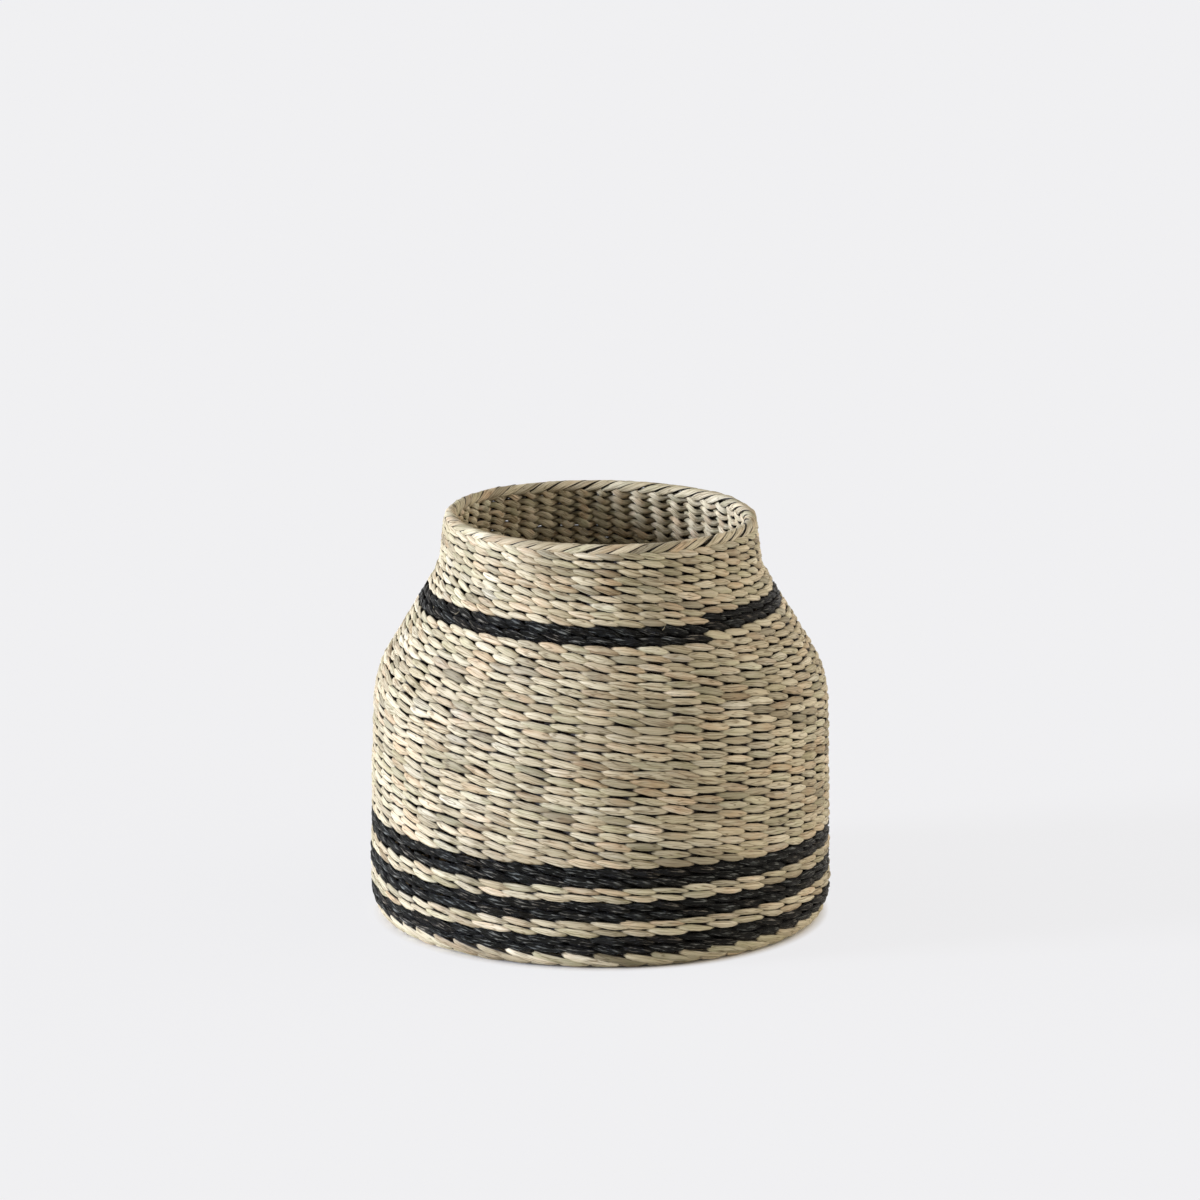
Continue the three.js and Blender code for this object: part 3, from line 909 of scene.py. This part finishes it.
def open_strands(name, slot, node_names, corners, seed, openness, turn, **lay):
    """Strands with two ends, laid on the wall and given as arrays of strands by rings."""
    draw = np.random.default_rng(seed)
    strands, rings = turn.shape
    grooves = soft_grooves(draw, strands, rings, corners, END_FOLDS, END_FOLD_DEPTH)
    twists = draw.normal(0, UNEVEN_TWIST, (strands, END_TWISTS))
    twist = eased(twists, np.linspace(0, 1 - 1 / END_TWISTS, rings))
    weave(name, slot, node_names, False, turn=turn, twist=twist, grooves=grooves,
          tints=float_tints(draw, strands, 1), openness=np.full(turn.shape + (corners,), openness), **lay)


# The rim: every stake end folds over the edge of the wall, slants on and tucks in behind. It rolls
# round the edge, turning as it goes, and reaches on over a few stakes.
RIM_RINGS = 22
RIM_CORNERS = 12
RIM_ROLL = 2.75
RIM_ROLL_START = -42
RIM_ROLL_TURN = 262
RIM_HEIGHT = 0.9
RIM_START_TURN = -0.6
RIM_REACH = 3.1
RIM_HALF_WIDTH = 2.6
RIM_HALF_THICKNESS = 1.15
RIM_TIP = 0.7
RIM_TIP_SHARE = 0.03
RIM_FULLNESS = 0.5
RIM_UNEVEN = 0.05
RIM_SIZES = (0.92, 1.08)
RIM_SEED = 80


def make_rim():
    """The folded stake ends of the rim, in one piece."""
    draw = np.random.default_rng(RIM_SEED)
    along = np.linspace(0, 1, RIM_RINGS)[None, :]
    stakes = np.arange(STAKES)[:, None]
    turn = stakes + RIM_START_TURN + RIM_REACH * along + draw.normal(0, RIM_UNEVEN, stakes.shape)
    roll = np.radians(RIM_ROLL_START + RIM_ROLL_TURN * along) + draw.normal(0, RIM_UNEVEN, stakes.shape)
    distance = RIM_START + RIM_HEIGHT + RIM_ROLL * np.sin(roll)
    out = RIM_ROLL * np.cos(roll)
    points = place(turn, distance, out)
    outward = unit(place(turn, distance + PROBE * np.sin(roll), out + PROBE * np.cos(roll)) - points)
    share = RIM_TIP_SHARE + (1 - 2 * RIM_TIP_SHARE) * along
    fullness = np.sin(math.pi * share) ** RIM_FULLNESS
    size = draw.uniform(*RIM_SIZES, stakes.shape)
    half_width = (RIM_TIP + (RIM_HALF_WIDTH - RIM_TIP) * fullness) * size
    half_thickness = (RIM_TIP + (RIM_HALF_THICKNESS - RIM_TIP) * fullness) * size
    grooves = soft_grooves(draw, STAKES, RIM_RINGS, RIM_CORNERS, END_FOLDS, END_FOLD_DEPTH)
    body = sweep(points, outward, half_width, half_thickness, np.zeros(turn.shape), grooves, False)
    # Painted shade: the folds' edges are painted darker than their crests.
    openness = open_share(RIM_CORNERS, np.full(turn.shape, CREST_OUT))
    strand_piece("rim_folds", "natural_weft", ["rim_border"], body, points, float_tints(draw, STAKES, 1),
                 openness, False)


# Stakes end a little above the start of the last round, and have pointed tips in the base.
STAKE_RINGS = 84
STAKE_CORNERS = 8
STAKE_END = RIM_START + 1
STAKE_TIP = 0.3
# The stakes are painted as deep shade all over, in the darkest colour of the cracks, since they lie
# behind the weave.
STAKE_OPENNESS = 0.4
STAKE_SEED = 500


def make_stakes():
    """The stakes, from the base to the rim, long and short ones in turn."""
    index = np.arange(STAKES)[:, None]
    start = np.where(index % 2 == 0, base_distance(LONG_STAKE_START), base_distance(SHORT_STAKE_START))
    along = np.linspace(0, 1, STAKE_RINGS)[None, :]
    distance = start * (1 - along) + STAKE_END * along
    taper = np.minimum(1, STAKE_TIP + np.arange(STAKE_RINGS) / 2) * np.ones(distance.shape)
    open_strands("stake_rods", "stakes", [f"stake_{number + 1:02d}" for number in range(STAKES)],
                 STAKE_CORNERS, STAKE_SEED, STAKE_OPENNESS,
                 turn=np.broadcast_to(index + 0.5, distance.shape), distance=distance,
                 out=np.zeros(distance.shape), half_width=STAKE_WIDTH / 2 * taper,
                 half_thickness=STAKE_THICKNESS / 2 * taper)


# Stray ends: thin fibres that stand off the weave here and there. Headings and curls are radians
# off level, and STAKE_SPACING is how far apart the stakes are at the belly.
STRAYS = 44
STRAY_RINGS = 7
STRAY_CORNERS = 5
STRAY_LENGTHS = (4, 9)
STRAY_HEADINGS = (-0.5, 0.6)
STRAY_CURLS = (-0.6, 0.6)
STRAY_OUT = 2.6
STRAY_LIFT = 1.9
STRAY_LIFTS = (0.7, 1.2)
STRAY_LIFT_POWER = 0.7
STRAY_HALF_WIDTH = 0.34
STRAY_TAPER = 0.75
STRAY_FLATNESS = 0.55
STRAY_UNEVEN = 0.1
STRAY_OPENNESS = 0.9
STRAY_SEED = 90
STRAY_LOOK_SEED = 91
STAKE_SPACING = 18


def make_strays():
    """The stray fibres, in one piece."""
    draw = np.random.default_rng(STRAY_SEED)
    each = (STRAYS, 1)
    along = np.linspace(0, 1, STRAY_RINGS)[None, :]
    root = draw.integers(0, STAKES, each) + draw.normal(0, STRAY_UNEVEN, each)
    step = draw.uniform(*STRAY_LENGTHS, each) * along
    heading = draw.uniform(*STRAY_HEADINGS, each)
    heading = heading + draw.uniform(*STRAY_CURLS, each) * along
    start = draw.uniform(start_of("natural_band_low"), RIM_START, each)
    lift = STRAY_LIFT * along ** STRAY_LIFT_POWER * draw.uniform(*STRAY_LIFTS, each)
    half_width = STRAY_HALF_WIDTH * (1 - STRAY_TAPER * along) * np.ones(step.shape)
    open_strands("stray_fibres", "natural_weft", ["body_weft"], STRAY_CORNERS, STRAY_LOOK_SEED,
                 STRAY_OPENNESS, turn=root + step * np.cos(heading) / STAKE_SPACING,
                 distance=start + step * np.sin(heading), out=STRAY_OUT + lift,
                 half_width=half_width, half_thickness=STRAY_FLATNESS * half_width)


# The backdrop's colour and the floor's own. The camera sees the floor as this share of backdrop,
# without shadow. The share grows between two distances from the axis, in metres, so that the
# shadow close under the foot stays.
BACKDROP = srgb(241, 241, 243)
FLOOR_PAPER = srgb(238, 236, 230)
FLOOR_ROUGHNESS = 0.9
FLOOR_REACH = 60.0
FLOOR_GLOW = 0.9
FLOOR_GLOW_FROM = (0.1335, 0.141)


def make_stage():
    """A wide, plain, pale floor."""
    mesh = bpy.data.meshes.new("floor")
    corners = [(x * FLOOR_REACH, y * FLOOR_REACH, 0) for x, y in ((-1, -1), (1, -1), (1, 1), (-1, 1))]
    mesh.from_pydata(corners, [], [(0, 1, 2, 3)])
    floor = new_object("floor", mesh)
    material, nodes, shader = new_material("FloorPaper")
    nodes.feed(shader.inputs["Base Color"], FLOOR_PAPER)
    nodes.feed(shader.inputs["Roughness"], FLOOR_ROUGHNESS)
    nodes.feed(shader.inputs["Specular IOR Level"], 0.0)
    glow = nodes.add("ShaderNodeEmission")
    nodes.feed(glow.inputs["Color"], BACKDROP)
    rays = nodes.add("ShaderNodeLightPath")
    spot = nodes.add("ShaderNodeNewGeometry")
    radius = nodes.add("ShaderNodeVectorMath", operation="LENGTH")
    nodes.feed(radius.inputs[0], spot.outputs["Position"])
    clear = nodes.span(radius.outputs["Value"], *FLOOR_GLOW_FROM, 0.0, FLOOR_GLOW)
    blend = nodes.add("ShaderNodeMixShader")
    nodes.feed(blend.inputs[0], nodes.math("MULTIPLY", rays.outputs["Is Camera Ray"], clear))
    nodes.feed(blend.inputs[1], shader.outputs[0])
    nodes.feed(blend.inputs[2], glow.outputs[0])
    surface = next(node for node in nodes.tree.nodes if node.type == "OUTPUT_MATERIAL")
    nodes.feed(surface.inputs["Surface"], blend.outputs[0])
    mesh.materials.append(material)


# Camera: the photograph is taken from some way off and a little above.
VIEW_DISTANCE = 4000.0
VIEW_RISE = 13.2
FRAME_WIDTH = 733.7
SENSOR = 36.0
AIM = (-0.6, 0.0, 195.1)
FAR_CLIP = 200.0


def make_camera():
    """The camera, at the photograph's viewing angle."""
    rise = math.radians(VIEW_RISE)
    away = Vector((0, -math.cos(rise), math.sin(rise))) * VIEW_DISTANCE * MM
    data = bpy.data.cameras.new("camera")
    data.sensor_width = SENSOR
    data.lens = SENSOR * VIEW_DISTANCE / FRAME_WIDTH
    data.clip_end = FAR_CLIP
    camera = new_object("camera", data)
    camera.location = Vector(AIM) * MM + away
    camera.rotation_euler = (-away).to_track_quat("-Z", "Y").to_euler()
    bpy.context.scene.camera = camera


# Light from the room, from its left wall over its dim middle to its right wall, and the key light.
STUDIO = (
    (0.0, (2.05, 2.12, 2.35, 1.0)),
    (0.26, (0.26, 0.26, 0.26, 1.0)),
    (0.68, (0.24, 0.22, 0.20, 1.0)),
    (1.0, (2.6, 2.42, 2.26, 1.0)),
)
KEY_STRENGTH = 4.2
KEY_WIDTH = 16.0
KEY_COLOUR = (0.94, 1.0, 1.22)
KEY_DIRECTION = (0.91, 0.24, -0.21)


def make_light():
    """A soft studio: tall pale walls at both sides, and the key light from the left and above."""
    world = bpy.data.worlds.new("studio")
    bpy.context.scene.world = world
    world.use_nodes = True
    nodes = Nodes(world.node_tree)
    axes = nodes.add("ShaderNodeSeparateXYZ")
    nodes.feed(axes.inputs[0], nodes.add("ShaderNodeTexCoord").outputs["Generated"])
    walls = nodes.ramp(nodes.span(axes.outputs["X"], -1.0, 1.0, 0.0, 1.0), *STUDIO)
    rays = nodes.add("ShaderNodeLightPath")
    seen = nodes.mix(rays.outputs["Is Camera Ray"], walls, BACKDROP)
    nodes.feed(nodes.tree.nodes["Background"].inputs["Color"], seen)
    key = bpy.data.lights.new("key", "SUN")
    key.energy = KEY_STRENGTH
    key.angle = math.radians(KEY_WIDTH)
    key.color = KEY_COLOUR
    lamp = new_object("key", key)
    lamp.rotation_euler = Vector(KEY_DIRECTION).to_track_quat("-Z", "Y").to_euler()


make_camera()
make_light()
make_stage()
make_wall()
make_neck_step()
make_base()
make_knot()
make_foot()
make_rim()
make_stakes()
make_strays()

bpy.context.scene.view_settings.view_transform = "Standard"
